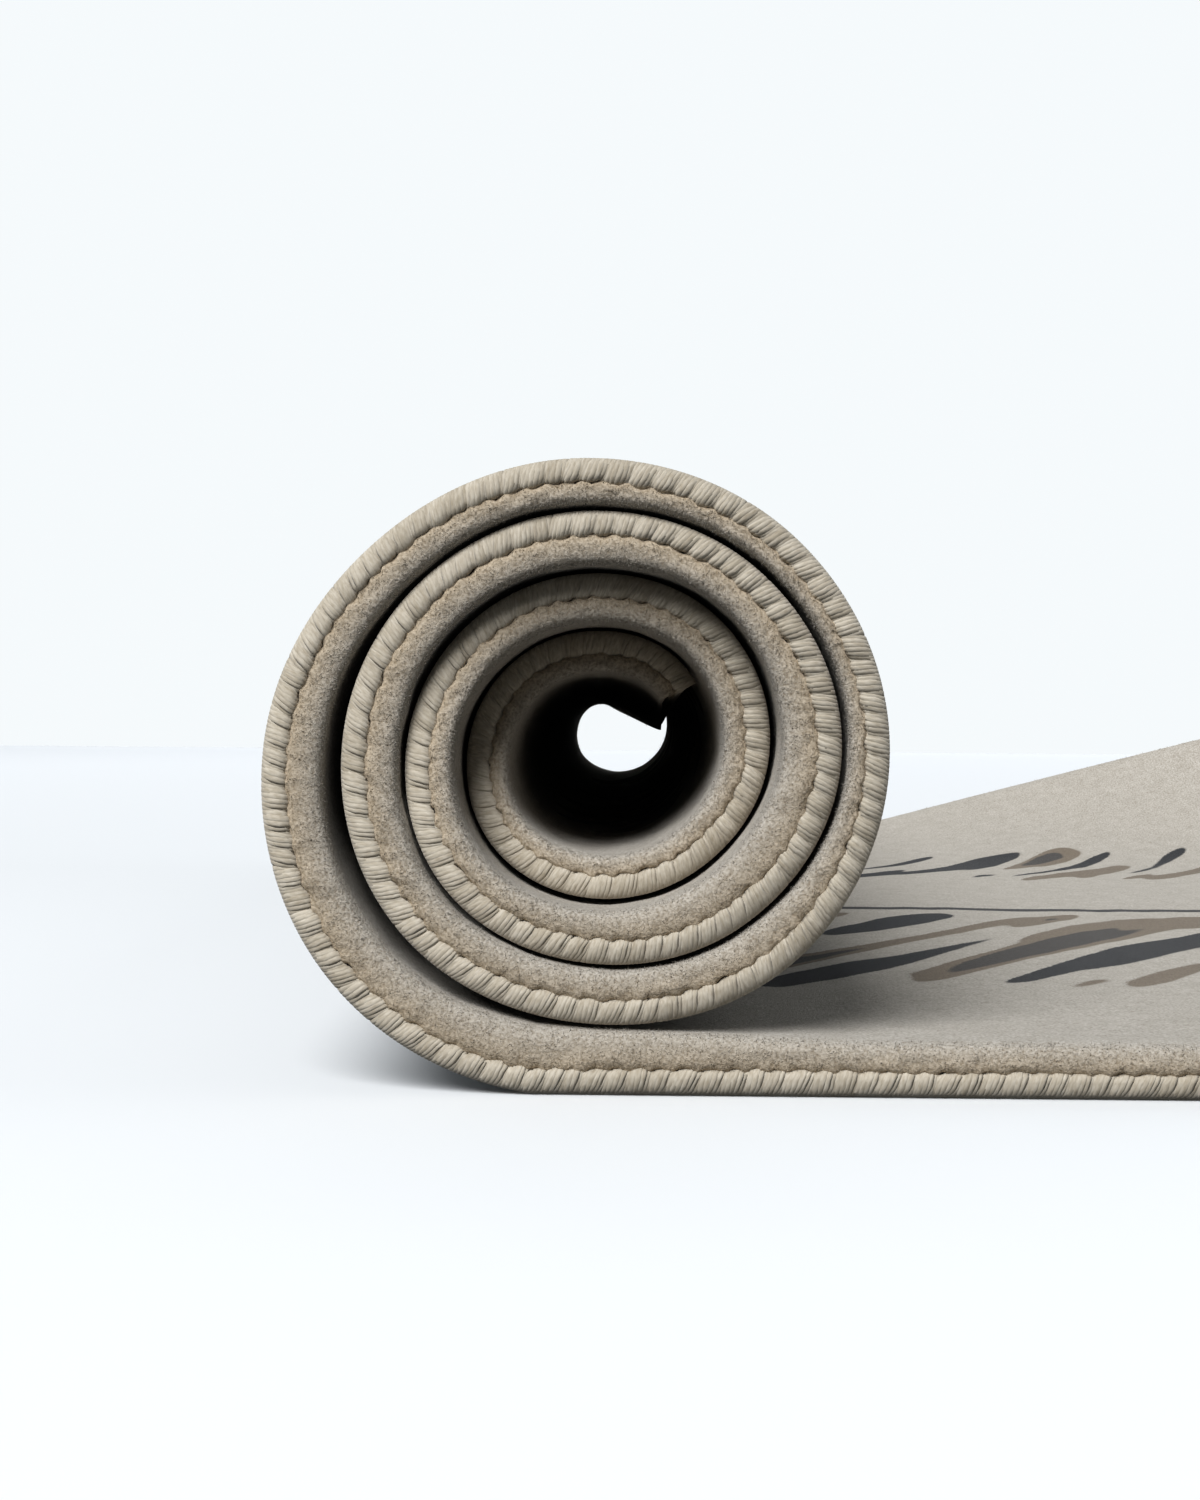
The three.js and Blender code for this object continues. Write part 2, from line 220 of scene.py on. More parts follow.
def lumps(u, v, seed):
    """Smooth random hills from -1 to 1, about one unit wide: a scrambled number at each whole place on a
    grid, blended between places by a smoothstep."""
    u, v = np.broadcast_arrays(u, v)
    left, low = np.floor(u), np.floor(v)
    s, t = u - left, v - low
    s, t = s * s * (3 - 2 * s), t * t * (3 - 2 * t)

    def corner(i, j):
        scrambled = np.sin((left + i) * 127.1 + (low + j) * 311.7 + seed * 74.7) * 43758.5453
        return 2 * (scrambled - np.floor(scrambled)) - 1

    return ((corner(0, 0) * (1 - s) + corner(1, 0) * s) * (1 - t)
            + (corner(0, 1) * (1 - s) + corner(1, 1) * s) * t)


STITCH_PITCH = 5.6
STITCH_UNEVENNESS = 0.22


def stitch_bounds(length, seed):
    """Where one stitch bundle of the binding ends and the next starts: steps of random width, scaled to fill
    the edge's length."""
    widths = 1 + STITCH_UNEVENNESS * np.random.default_rng(seed).uniform(-1, 1, round(length / STITCH_PITCH))
    return np.concatenate([[0], np.cumsum(widths)]) * length / widths.sum()


NEAR_STITCHES = stitch_bounds(CARPET_LENGTH, 11)
FAR_STITCHES = stitch_bounds(CARPET_LENGTH, 12)

# Seeds of the tufts' unevenness along the two long edges.
NEAR_TUFT_SEED, FAR_TUFT_SEED = 3, 7
NEAR_HANG_SEED, FAR_HANG_SEED = 23, 24

# The rim of the pile, from its underside up to its face: how far it lies in from the edge, and its share of
# the height between the two. The cut tufts bulge out over the binding and then round off.
RIM_INSET, RIM_SHARE = range(2)
RIM = np.array([
    [1.7, 0.0], [0.8, 0.10], [0.45, 0.24], [0.4, 0.40], [0.45, 0.56],
    [0.65, 0.70], [1.1, 0.82], [1.9, 0.91], [3.2, 0.97], [5.5, 1.0],
])


def from_stitch_bound(along, stitches):
    """The distance to the nearest place where one stitch ends and the next starts."""
    after = np.clip(np.searchsorted(stitches, along), 1, len(stitches) - 1)
    return np.minimum(np.abs(along - stitches[after - 1]), np.abs(stitches[after] - along))


def rim_inset(along, share, seed):
    """How far the rim lies in from the edge: the rim table, made lumpy where tufts lean together, most of all
    along the seam."""
    inset = np.interp(share, RIM[:, RIM_SHARE], RIM[:, RIM_INSET])
    tufts = 0.55 * lumps(along / 2.2, share * 3.0, seed) + 0.30 * lumps(along / 8.5, share * 1.5, seed + 1)
    return inset + tufts * np.clip(1.1 - share, 0, 1)


def rim_hang(along, share, stitches, seed):
    """How far the foot of the rim stands above its level line: the tufts puff down between two stitches and
    are held up behind the middle of each."""
    between = np.exp(-(from_stitch_bound(along, stitches) / 1.3) ** 2)
    hang = 0.35 - 1.3 * between + 0.5 * lumps(along / 1.9, 0.5, seed)
    return hang * np.clip(1 - share / 0.4, 0, 1)


def new_piece(name, points, faces, materials, uv=None, **attributes):
    """A mesh object from arrays of points and faces, smooth, turned outwards if its volume comes out
    negative, with a UV map and point attributes where they are given. It rides on the roll's one body."""
    fans = [np.stack([f[:, [0, i, i + 1]] for i in range(1, f.shape[1] - 1)], 1) for f in faces]
    triangles = np.concatenate([fan.reshape(-1, 3) for fan in fans])
    a, b, c = (points[triangles[:, i]] - points.mean(0) for i in range(3))
    if np.einsum("ij,ij->", a, np.cross(b, c)) < 0:
        faces = [f[:, ::-1] for f in faces]
    mesh = bpy.data.meshes.new(name)
    mesh.from_pydata(points, [], [face for group in faces for face in group.tolist()])
    mesh.polygons.foreach_set("use_smooth", np.ones(len(mesh.polygons), bool))
    if uv is not None:
        corner = np.empty(len(mesh.loops), np.int32)
        mesh.loops.foreach_get("vertex_index", corner)
        mesh.uv_layers.new(name="flat").data.foreach_set("uv", uv[corner].astype(np.float32).ravel())
    for key, values in attributes.items():
        mesh.attributes.new(key, "FLOAT", "POINT").data.foreach_set("value", values.astype(np.float32))
    for material in materials:
        mesh.materials.append(material)
    piece = bpy.data.objects.new(name, mesh)
    bpy.context.scene.collection.objects.link(piece)
    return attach(piece, "root")


def grid_faces(rows, columns, closed):
    """Four-cornered faces between the points of a grid, counted row by row. Closed joins the last column to
    the first."""
    last = columns if closed else columns - 1
    row, column = np.meshgrid(np.arange(rows - 1), np.arange(last), indexing="ij")
    following = (column + 1) % columns
    corners = [row * columns + column, row * columns + following,
               (row + 1) * columns + following, (row + 1) * columns + column]
    return np.stack(corners, -1).reshape(-1, 4)


def linear(hex_colour):
    """An sRGB hex colour as linear red, green, blue and alpha."""
    srgb = np.array([int(hex_colour[i:i + 2], 16) for i in (1, 3, 5)]) / 255
    return (*np.where(srgb <= 0.04045, srgb / 12.92, ((srgb + 0.055) / 1.055) ** 2.4), 1.0)


def add(tree, kind, inputs=(), **settings):
    """Adds a node: settings are its own properties, and inputs gives sockets a value or what feeds them."""
    node = tree.nodes.new(kind)
    for name, value in settings.items():
        setattr(node, name, value)
    for socket, value in dict(inputs).items():
        if isinstance(value, bpy.types.NodeSocket):
            tree.links.new(value, node.inputs[socket])
        else:
            node.inputs[socket].default_value = value
    return node


def new_material(name):
    material = bpy.data.materials.new(name)
    material.use_nodes = True
    tree = material.node_tree
    return material, tree, tree.nodes["Principled BSDF"]


def sheet_grid():
    """The carpet as a loop of points round its section, carried along its path: up the near rim, over the
    pile's face, down the far rim and home along the back. Towards both ends the pile rounds off and the back
    steps up to leave room for the binding. Gives along, across, height and each point's share of the pile."""
    ends = np.array([0.9, 1.1, 1.5, 2.1, 2.9, 4.0, 5.3, 6.8, BACKING_INSET - 0.02, BACKING_INSET + 0.02])
    middle = np.arange(10.0, CARPET_LENGTH - 9.9, 1.5)
    along = np.concatenate([ends, middle, CARPET_LENGTH - ends[::-1]])[:, None]
    from_end = np.minimum(along, CARPET_LENGTH - along)
    back = np.where(from_end < BACKING_INSET, PILE_UNDERSIDE, 0)
    end_share = np.interp(from_end, RIM[3:, RIM_INSET], RIM[3:, RIM_SHARE])

    rim_share = np.linspace(0, 1, 13)[None, :]
    near_rim = NEAR_EDGE + rim_inset(along, rim_share, NEAR_TUFT_SEED)
    far_rim = FAR_EDGE - rim_inset(along, rim_share, FAR_TUFT_SEED)
    face_across = NEAR_EDGE + np.array([
        10, 13, 17, 22, 28, 36, 47, 62, 82, 108, 140, 180, 230, 290, 350, 410, 470, 530, 590, 640,
        686, 708, 730, 752, 774, 796, 818, 840, 858, 872, 882, 889])[None, :]
    back_across = NEAR_EDGE + np.array([
        880, 860, 835, 810, 785, 760, 735, 710, 686, 560, 430, 300, 150, 40])[None, :]

    ones = np.ones_like(along)
    near_step = (NEAR_EDGE + BACKING_INSET) * ones
    far_step = (FAR_EDGE - BACKING_INSET) * ones
    across = np.hstack([near_step, near_step, near_rim, face_across * ones, far_rim[:, ::-1],
                        far_step, far_step, back_across * ones])
    step_share = np.zeros_like(ones)
    share = np.hstack([step_share, step_share, rim_share * ones, np.ones_like(face_across) * ones,
                       rim_share[:, ::-1] * ones, step_share, step_share, np.zeros_like(back_across) * ones])
    pile_points = across.shape[1] - back_across.shape[1]
    top = (thickness(along, across) - PILE_UNDERSIDE) * end_share
    worn = 0.35 * lumps(along / 31, across / 37, 21) + 0.22 * lumps(along / 9, across / 11, 22)
    hang = np.where(across < 0, rim_hang(along, share, NEAR_STITCHES, NEAR_HANG_SEED),
                    rim_hang(along, share, FAR_STITCHES, FAR_HANG_SEED))
    height = PILE_UNDERSIDE + share * top + np.where(share == 1, worn, 0) + hang
    height[:, pile_points - 1:] = back
    height[:, :1] = back
    return along * np.ones_like(across), across, height, share * end_share, pile_points


def carpet_sheet(pile, backing):
    """The carpet's mesh: the section's loops joined into a skin, with the first and the last loop filled in.
    The first points of each loop are pile and the rest are backing."""
    along, across, height, tip, pile_points = sheet_grid()
    rows, columns = along.shape
    points = placed(along, across, height).reshape(-1, 3)
    skin = grid_faces(rows, columns, closed=True)
    first_loop = np.arange(columns)[None, :]
    caps = [first_loop, first_loop[:, ::-1] + (rows - 1) * columns]
    uv = np.stack([along, across - NEAR_EDGE], -1).reshape(-1, 2) * MM
    sheet = new_piece("carpet_sheet", points, [skin, *caps], [pile, backing], uv, tip=tip.ravel())
    column = np.arange(len(skin)) % columns
    slots = np.concatenate([column >= pile_points - 1, [False, False]]).astype(np.int32)
    sheet.data.polygons.foreach_set("material_index", slots)
    return sheet


# Cut wool pile: thousands of fine matt fibres on end, so it has no gloss, a slight bloom at grazing angles,
# a grain just under a millimetre wide, warmer roots, and colours whose borders are as ragged as the tufts.
# The design is a plain border and middle, with bands of long tapered strokes between them.
wool_pile, tree, surface = new_material("wool_pile")
place = add(tree, "ShaderNodeTexCoord")
grain = add(tree, "ShaderNodeTexNoise", {"Vector": place.outputs["Object"], "Scale": 1 / (0.8 * MM),
                                         "Detail": 3.0, "Roughness": 0.65})
mottle = add(tree, "ShaderNodeTexNoise", {"Vector": place.outputs["Object"], "Scale": 1 / (8 * MM),
                                          "Detail": 4.0, "Roughness": 0.6})
tip = add(tree, "ShaderNodeAttribute", attribute_name="tip")
ground = add(tree, "ShaderNodeValToRGB", {"Fac": mottle.outputs["Fac"]})
ground.color_ramp.elements[0].position = 0.20
ground.color_ramp.elements[0].color = linear("#b2ada5")
ground.color_ramp.elements[1].position = 0.80
ground.color_ramp.elements[1].color = linear("#c3bfb8")

ragged = add(tree, "ShaderNodeMix", {0: 0.004, 4: place.outputs["UV"], 5: grain.outputs["Color"]},
             data_type="VECTOR")
strokes = add(tree, "ShaderNodeMapping", {"Vector": ragged.outputs[1], "Rotation": (0, 0, math.radians(118)),
                                          "Scale": (0.30, 0.030, 1)}, vector_type="TEXTURE")
stroke = add(tree, "ShaderNodeTexNoise", {"Vector": strokes.outputs["Vector"], "Scale": 1.0, "Detail": 1.0})
flat_place = add(tree, "ShaderNodeSeparateXYZ", {"Vector": ragged.outputs[1]})
band = add(tree, "ShaderNodeValToRGB", {"Fac": flat_place.outputs["Y"]})
band.color_ramp.elements[0].position = 0.105
band.color_ramp.elements[1].position = 0.150
for position, level in ((0.375, 1), (0.412, 0), (0.585, 0), (0.630, 1), (0.745, 1), (0.785, 0)):
    band.color_ramp.elements.new(position).color = (level, level, level, 1)
length_share = add(tree, "ShaderNodeMath", {0: flat_place.outputs["X"], 1: CARPET_LENGTH * MM},
                   operation="DIVIDE")
length_band = add(tree, "ShaderNodeValToRGB", {"Fac": length_share.outputs[0]})
length_band.color_ramp.elements[0].position = 0.055
length_band.color_ramp.elements[1].position = 0.085
for position, level in ((0.915, 1), (0.945, 0)):
    length_band.color_ramp.elements.new(position).color = (level, level, level, 1)
inside = add(tree, "ShaderNodeMath", {0: band.outputs["Color"], 1: length_band.outputs["Color"]},
             operation="MULTIPLY")
tapered = add(tree, "ShaderNodeMix", {0: inside.outputs[0], 2: 0.48, 3: stroke.outputs["Fac"]})
tint = add(tree, "ShaderNodeValToRGB", {"Fac": tapered.outputs[0]})
tint.color_ramp.elements[0].position = 0.395
tint.color_ramp.elements[0].color = linear("#202329")
tint.color_ramp.elements[1].position = 0.405
tint.color_ramp.elements[1].color = (*linear("#b0aca5")[:3], 0.0)
for position, colour, cover in ((0.548, "#b0aca5", 0), (0.558, "#7f7466", 1), (0.625, "#7f7466", 1),
                                (0.635, "#474442", 1)):
    tint.color_ramp.elements.new(position).color = (*linear(colour)[:3], cover)
designed = add(tree, "ShaderNodeMix", {0: tint.outputs["Alpha"], 6: ground.outputs["Color"],
                                       7: tint.outputs["Color"]}, data_type="RGBA")
line = add(tree, "ShaderNodeValToRGB", {"Fac": flat_place.outputs["Y"]})
line.color_ramp.interpolation = "CONSTANT"
line.color_ramp.elements[1].position = 0.414
line.color_ramp.elements.new(0.423).color = (0, 0, 0, 1)
line_reach = add(tree, "ShaderNodeMath", {0: length_band.outputs["Color"], 1: 0.5},
                 operation="GREATER_THAN")
line_inside = add(tree, "ShaderNodeMath", {0: line.outputs["Color"], 1: line_reach.outputs[0]},
                  operation="MULTIPLY")
lined = add(tree, "ShaderNodeMix", {0: line_inside.outputs[0], 6: designed.outputs[2], 7: linear("#38383b")},
            data_type="RGBA")
rooted = add(tree, "ShaderNodeMix", {0: tip.outputs["Fac"], 6: linear("#bfb19c"), 7: lined.outputs[2]},
             data_type="RGBA")
speckle = add(tree, "ShaderNodeValToRGB", {"Fac": grain.outputs["Fac"]})
speckle.color_ramp.elements[0].position = 0.30
speckle.color_ramp.elements[0].color = linear("#c2bcb3")
speckle.color_ramp.elements[1].position = 0.62
speckle.color_ramp.elements[1].color = linear("#ffffff")
grained = add(tree, "ShaderNodeMix", {0: 1.0, 6: rooted.outputs[2], 7: speckle.outputs["Color"]},
              data_type="RGBA", blend_type="MULTIPLY")
pile_bump = add(tree, "ShaderNodeBump", {"Height": grain.outputs["Fac"], "Strength": 0.7,
                                         "Distance": 0.7 * MM})
tree.links.new(grained.outputs[2], surface.inputs["Base Color"])
tree.links.new(pile_bump.outputs["Normal"], surface.inputs["Normal"])
surface.inputs["Roughness"].default_value = 0.95
surface.inputs["Specular IOR Level"].default_value = 0.1
surface.inputs["Sheen Weight"].default_value = 0.12
surface.inputs["Sheen Roughness"].default_value = 0.6

# Cotton canvas glued to the back: a plain weave of dull grey threads about a millimetre and a half apart.
cotton_canvas, tree, surface = new_material("cotton_canvas")
place = add(tree, "ShaderNodeTexCoord")
# A wave of scale one repeats every 2 pi / 20 of a unit.
THREAD_SCALE = 2 * math.pi / 20 / (1.5 * MM)
warp = add(tree, "ShaderNodeTexWave", {"Vector": place.outputs["UV"], "Scale": THREAD_SCALE},
           bands_direction="X")
weft = add(tree, "ShaderNodeTexWave", {"Vector": place.outputs["UV"], "Scale": THREAD_SCALE},
           bands_direction="Y")
weave = add(tree, "ShaderNodeMath", {0: warp.outputs["Fac"], 1: weft.outputs["Fac"]}, operation="ADD")
slub = add(tree, "ShaderNodeTexNoise", {"Vector": place.outputs["Object"], "Scale": 1 / (2.5 * MM),
                                        "Detail": 2.0})
thread = add(tree, "ShaderNodeMath", {0: weave.outputs[0], 1: slub.outputs["Fac"]}, operation="MULTIPLY")
cloth = add(tree, "ShaderNodeValToRGB", {"Fac": thread.outputs[0]})
cloth.color_ramp.elements[0].position = 0.1
cloth.color_ramp.elements[0].color = linear("#5c5d5e")
cloth.color_ramp.elements[1].position = 0.9
cloth.color_ramp.elements[1].color = linear("#8a8a88")
weave_bump = add(tree, "ShaderNodeBump", {"Height": weave.outputs[0], "Strength": 0.5,
                                          "Distance": 0.3 * MM})
tree.links.new(cloth.outputs["Color"], surface.inputs["Base Color"])
tree.links.new(weave_bump.outputs["Normal"], surface.inputs["Normal"])
surface.inputs["Roughness"].default_value = 0.9
surface.inputs["Specular IOR Level"].default_value = 0.15

carpet = carpet_sheet(wool_pile, cotton_canvas)
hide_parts("carpet")


# The bindings are wool yarn overcast round the carpet's four edges by hand: bundles of four to six plies that
# come out under the pile's rim, lap the edge on a slight slant, and go back in through the canvas. A cord of
# the same yarn fills them out; it is coloured darker than the plies, painted shade for the shadow in the gaps
# between the bundles.
# A strand's way round the edge, and the cord's outline: how far in from the edge, and how high off the back.
WRAP_INSET, WRAP_HEIGHT = range(2)
WRAP = np.array([
    [4.6, 6.6], [1.8, 6.65], [0.55, 5.9], [0.4, 4.6], [0.75, 3.0], [1.5, 1.6], [2.9, 0.6], [7.2, 0.45],
])
CORD = np.array([[7.5, 0.8], [7.5, 5.6], [2.2, 5.7], [1.05, 5.1], [1.1, 3.5], [1.9, 1.8], [3.2, 0.8]])
SLANT = 1.5
CROWN = 0.5
SEAM_GATHER = 0.88
SEAM_SHARE = 0.3
PLY_WIDTH = 1.08
PLY_OVERLAP = 2.0
PLY_DEPTH = 0.27
LOWEST_PLY = 0.5
# The cord's tone, darker than the plies': painted shade for the shadow in the gaps between the bundles.
CORD_PAINTED_SHADE = -0.9


def yarn_wraps(bounds, seed, keep, sides):
    """The plies of every stitch as round strands: each follows the wrap table, spread over its stitch's
    width and gathered at the seam, slanting along the edge, with the stitch's middle crowned outwards.
    Gives the strands' station, inset and height as strand x step x side, and a shade for each strand."""
    rng = np.random.default_rng(seed)
    width = np.diff(bounds)
    plies = np.clip(np.round(width / PLY_WIDTH), 4, 6).astype(int)
    stitch = np.repeat(np.arange(len(width)), plies)
    ply = np.arange(len(stitch)) - np.repeat(np.cumsum(plies) - plies, plies)
    offset = ((ply + 0.5) / plies[stitch] * 2 - 1)[:, None]
    half = (width / 2)[stitch][:, None]
    path = WRAP[keep]
    step = np.linspace(0, 1, len(path))[None, :]
    front = np.sin(np.pi * np.clip(step * 1.25, 0, 1))
    gather = SEAM_GATHER + (1 - SEAM_GATHER) * np.clip(step / SEAM_SHARE, 0, 1)
    lean = SLANT * (1 + 0.5 * rng.uniform(-1, 1, len(width)))[stitch][:, None]
    station = (bounds[:-1] + bounds[1:])[stitch][:, None] / 2 + offset * half * gather + lean * (2 * step - 1)
    station = station + 0.12 * rng.uniform(-1, 1, station.shape)
    bulge = CROWN * (1 - offset**2) + 0.16 * rng.uniform(-1, 1, len(width))[stitch][:, None]
    inset = path[None, :, WRAP_INSET] + 0.3 * front - bulge * front
    seam_drop = 1.5 * offset**2 - 0.5 + 0.6 * rng.uniform(-1, 1, len(width))[stitch][:, None]
    height = path[None, :, WRAP_HEIGHT] - seam_drop * np.clip(1 - step / SEAM_SHARE, 0, 1)
    height = np.maximum(height, LOWEST_PLY)

    run = np.gradient(path, axis=0)
    outward = np.stack([-run[:, WRAP_HEIGHT], run[:, WRAP_INSET]], -1)
    outward *= -np.sign(outward[len(path) // 2, WRAP_INSET]) / np.linalg.norm(outward, axis=1, keepdims=True)
    radius = (half / plies[stitch][:, None] * PLY_OVERLAP)[..., None]
    turn = (np.arange(sides) + 0.5) / sides * 2 * np.pi
    across_strand, out_of_strand = radius * np.cos(turn), PLY_DEPTH * np.sin(turn)
    shade = rng.normal(0, 0.18, len(stitch)) + rng.normal(0, 0.20, len(width))[stitch]
    return (station[..., None] + across_strand,
            inset[..., None] + out_of_strand * outward[None, :, None, WRAP_INSET],
            height[..., None] + out_of_strand * outward[None, :, None, WRAP_HEIGHT], shade)


def edge_binding(name, node, bounds, place, seed, keep, sides):
    """One edge's binding: the strands of its stitches as tubes with closed ends, and the cord inside them as
    a rounded bar, all put in place by the edge's own function of station, inset and height."""
    station, inset, height, shade = yarn_wraps(bounds, seed, keep, sides)
    station = np.clip(station, bounds[0], bounds[-1])
    strands, steps, _ = station.shape
    tubes = place(station, inset, height).reshape(-1, 3)
    first = np.arange(strands)[:, None] * steps * sides
    skin = (grid_faces(steps, sides, closed=True)[None] + first[..., None]).reshape(-1, 4)
    start_caps = first + np.arange(sides)[::-1]
    end_caps = first + (steps - 1) * sides + np.arange(sides)

    cord_steps = int((bounds[-1] - bounds[0]) / 2.5)
    cord_station = np.linspace(bounds[0] + 0.5, bounds[-1] - 0.5, cord_steps)[:, None]
    cord = place(cord_station, CORD[None, :, 0], CORD[None, :, 1]).reshape(-1, 3)
    around = len(CORD)
    cord_skin = grid_faces(len(cord_station), around, closed=True) + len(tubes)
    cord_caps = len(tubes) + np.stack([np.arange(around)[::-1], np.arange(around) + len(cord) - around])
    strand_u = np.broadcast_to(np.linspace(0, 16, steps)[None, :, None], station.shape)
    strand_v = np.arange(strands)[:, None, None] * 7.3 + np.arange(sides) * 0.6
    strand_v = np.broadcast_to(strand_v, station.shape)
    uv = np.vstack([np.stack([strand_u, strand_v], -1).reshape(-1, 2), np.zeros((len(cord), 2))]) * MM
    # The cord gets the darker tone: painted shade in the gaps between the bundles.
    ply_tones_and_painted_shade = np.concatenate([np.repeat(shade, steps * sides), np.full(len(cord), CORD_PAINTED_SHADE)])
    piece = new_piece(name, np.vstack([tubes, cord]), [skin, start_caps, end_caps, cord_skin, cord_caps],
                      [wool_yarn], uv, shade=ply_tones_and_painted_shade)
    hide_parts(node)
    return piece


# Plied wool yarn: matt, close to the pile in colour, each ply a shade of its own with fine lengthwise hairs.
# The cord inside takes a darker tone from the same ramp: painted shade for the gaps between the bundles.
wool_yarn, tree, surface = new_material("wool_yarn")
place = add(tree, "ShaderNodeTexCoord")
shade = add(tree, "ShaderNodeAttribute", attribute_name="shade")
ply_tone_and_painted_shade = add(tree, "ShaderNodeMapRange", {"Value": shade.outputs["Fac"], "From Min": -2.5,
                                            "From Max": 1.5})
hair_lie = add(tree, "ShaderNodeMapping", {"Vector": place.outputs["UV"],
                                           "Rotation": (0, 0, math.radians(20)),
                                           "Scale": (1 / (3 * MM), 1 / (0.35 * MM), 1)})
hairs = add(tree, "ShaderNodeTexNoise", {"Vector": hair_lie.outputs["Vector"], "Scale": 1.0, "Detail": 3.0})
# The ramp's darker part colours the cord as painted shade; the plies' own random tones lie in its upper part.
tone = add(tree, "ShaderNodeValToRGB", {"Fac": ply_tone_and_painted_shade.outputs["Result"]})
tone.color_ramp.elements[0].position = 0.0
tone.color_ramp.elements[0].color = linear("#83765f")
tone.color_ramp.elements[1].position = 1.0
tone.color_ramp.elements[1].color = linear("#d2cbbe")
tone.color_ramp.elements.new(0.62).color = linear("#c0b9ac")
hair_tone = add(tree, "ShaderNodeValToRGB", {"Fac": hairs.outputs["Fac"]})
hair_tone.color_ramp.elements[0].position = 0.30
hair_tone.color_ramp.elements[0].color = linear("#dedad3")
hair_tone.color_ramp.elements[1].position = 0.65
hair_tone.color_ramp.elements[1].color = linear("#ffffff")
yarn_colour = add(tree, "ShaderNodeMix", {0: 1.0, 6: tone.outputs["Color"], 7: hair_tone.outputs["Color"]},
                  data_type="RGBA", blend_type="MULTIPLY")
hair_bump = add(tree, "ShaderNodeBump", {"Height": hairs.outputs["Fac"], "Strength": 0.35,
                                         "Distance": 0.12 * MM})
tree.links.new(yarn_colour.outputs[2], surface.inputs["Base Color"])
tree.links.new(hair_bump.outputs["Normal"], surface.inputs["Normal"])
surface.inputs["Roughness"].default_value = 0.9
surface.inputs["Specular IOR Level"].default_value = 0.12
surface.inputs["Sheen Weight"].default_value = 0.2
surface.inputs["Sheen Roughness"].default_value = 0.5

WHOLE_WRAP = list(range(len(WRAP)))
PLAIN_WRAP = [0, 2, 3, 4, 5, 7]
end_bounds = stitch_bounds(CARPET_WIDTH - 2 * BACKING_INSET, 13) + NEAR_EDGE + BACKING_INSET
near_binding = edge_binding(
    "near_edge_yarn", "binding_near_edge", NEAR_STITCHES,
    lambda station, inset, height: placed(station, NEAR_EDGE + inset, height), 31, WHOLE_WRAP, 5)
far_binding = edge_binding(
    "far_edge_yarn", "binding_far_edge", FAR_STITCHES,
    lambda station, inset, height: placed(station, FAR_EDGE - inset, height), 32, PLAIN_WRAP, 4)
outer_binding = edge_binding(
    "outer_end_yarn", "binding_outer_end", end_bounds,
    lambda station, inset, height: placed(inset, station, height), 33, WHOLE_WRAP, 5)
inner_binding = edge_binding(
    "inner_end_yarn", "binding_inner_end", end_bounds,
    lambda station, inset, height: placed(CARPET_LENGTH - inset, station, height), 34, PLAIN_WRAP, 4)


# Fibres that stand out of the cut pile along the near and far rims, as on any sheared wool carpet. They are
# part of the pile, and soften its outline and the seam above the binding.
FIBRE_RADIUS = 0.10


def rim_fibres(name, edge, inward, stitches, seed, count):
    """Thin three-sided spikes rooted at random places on a rim, pointing out of it with a random lean: at the
    foot of the rim they point over the binding, and near the pile's face they stand up."""
    rng = np.random.default_rng(seed)
    along = rng.uniform(2, CARPET_LENGTH - 8, count)
    share = rng.uniform(0, 1, count) ** 0.8
    inset = rim_inset(along, share, NEAR_TUFT_SEED if inward > 0 else FAR_TUFT_SEED) + 0.15
    across = edge + inward * inset
    height = PILE_UNDERSIDE + (thickness(along, across) - PILE_UNDERSIDE) * share
    height = height + rim_hang(along, share, stitches, NEAR_HANG_SEED if inward > 0 else FAR_HANG_SEED)
    lean = rng.normal(0, 0.55, (count, 3))
    out = np.stack([lean[:, 0], inward * (lean[:, 1] - np.cos(share * np.pi / 2)),
                    lean[:, 2] + np.sin(share * np.pi / 2) - 0.25], -1)
    out /= np.linalg.norm(out, axis=1, keepdims=True)
    reach = (0.5 + 0.9 * rng.uniform(0, 1, count) ** 2)[:, None]
    root = np.stack([along, across, height], -1)
    side = np.cross(out, rng.normal(0, 1, (count, 3)))
    side *= FIBRE_RADIUS / np.linalg.norm(side, axis=1, keepdims=True)
    other = np.cross(out, side)
    corners = [root + side, root - 0.5 * side + 0.87 * other, root - 0.5 * side - 0.87 * other,
               root + reach * out]
    spike = np.stack(corners, 1).reshape(-1, 3)
    points = placed(spike[:, 0], spike[:, 1], spike[:, 2])
    first = np.arange(count)[:, None] * 4
    faces = np.concatenate([first + [0, 1, 3], first + [1, 2, 3], first + [2, 0, 3], first + [0, 2, 1]])
    tip = np.repeat(np.clip(share + 0.15, 0, 1), 4)
    uv = np.stack([spike[:, 0], spike[:, 1] - NEAR_EDGE], -1) * MM
    fibres = new_piece(name, points, [faces], [wool_pile], uv, tip=tip)


rim_fibres("near_rim_fibres", NEAR_EDGE, 1, NEAR_STITCHES, 41, 42000)
rim_fibres("far_rim_fibres", FAR_EDGE, -1, FAR_STITCHES, 42, 12000)


# The floor and the backdrop are pale studio sheets. They carry the carpet and aren't part of it. The floor's
# colour is painted greyer towards the back, as shade, so that it meets the backdrop without a line.
# The backdrop glows softly from three sides, well away; the walls on the camera's side give no light.
FLOOR_HALF = 12.0
BACKDROP_HALF = 5.0
BACKDROP_HEIGHT = 6.0
studio_white, tree, surface = new_material("studio_white")
place = add(tree, "ShaderNodeTexCoord")
floor_place = add(tree, "ShaderNodeSeparateXYZ", {"Vector": place.outputs["Object"]})
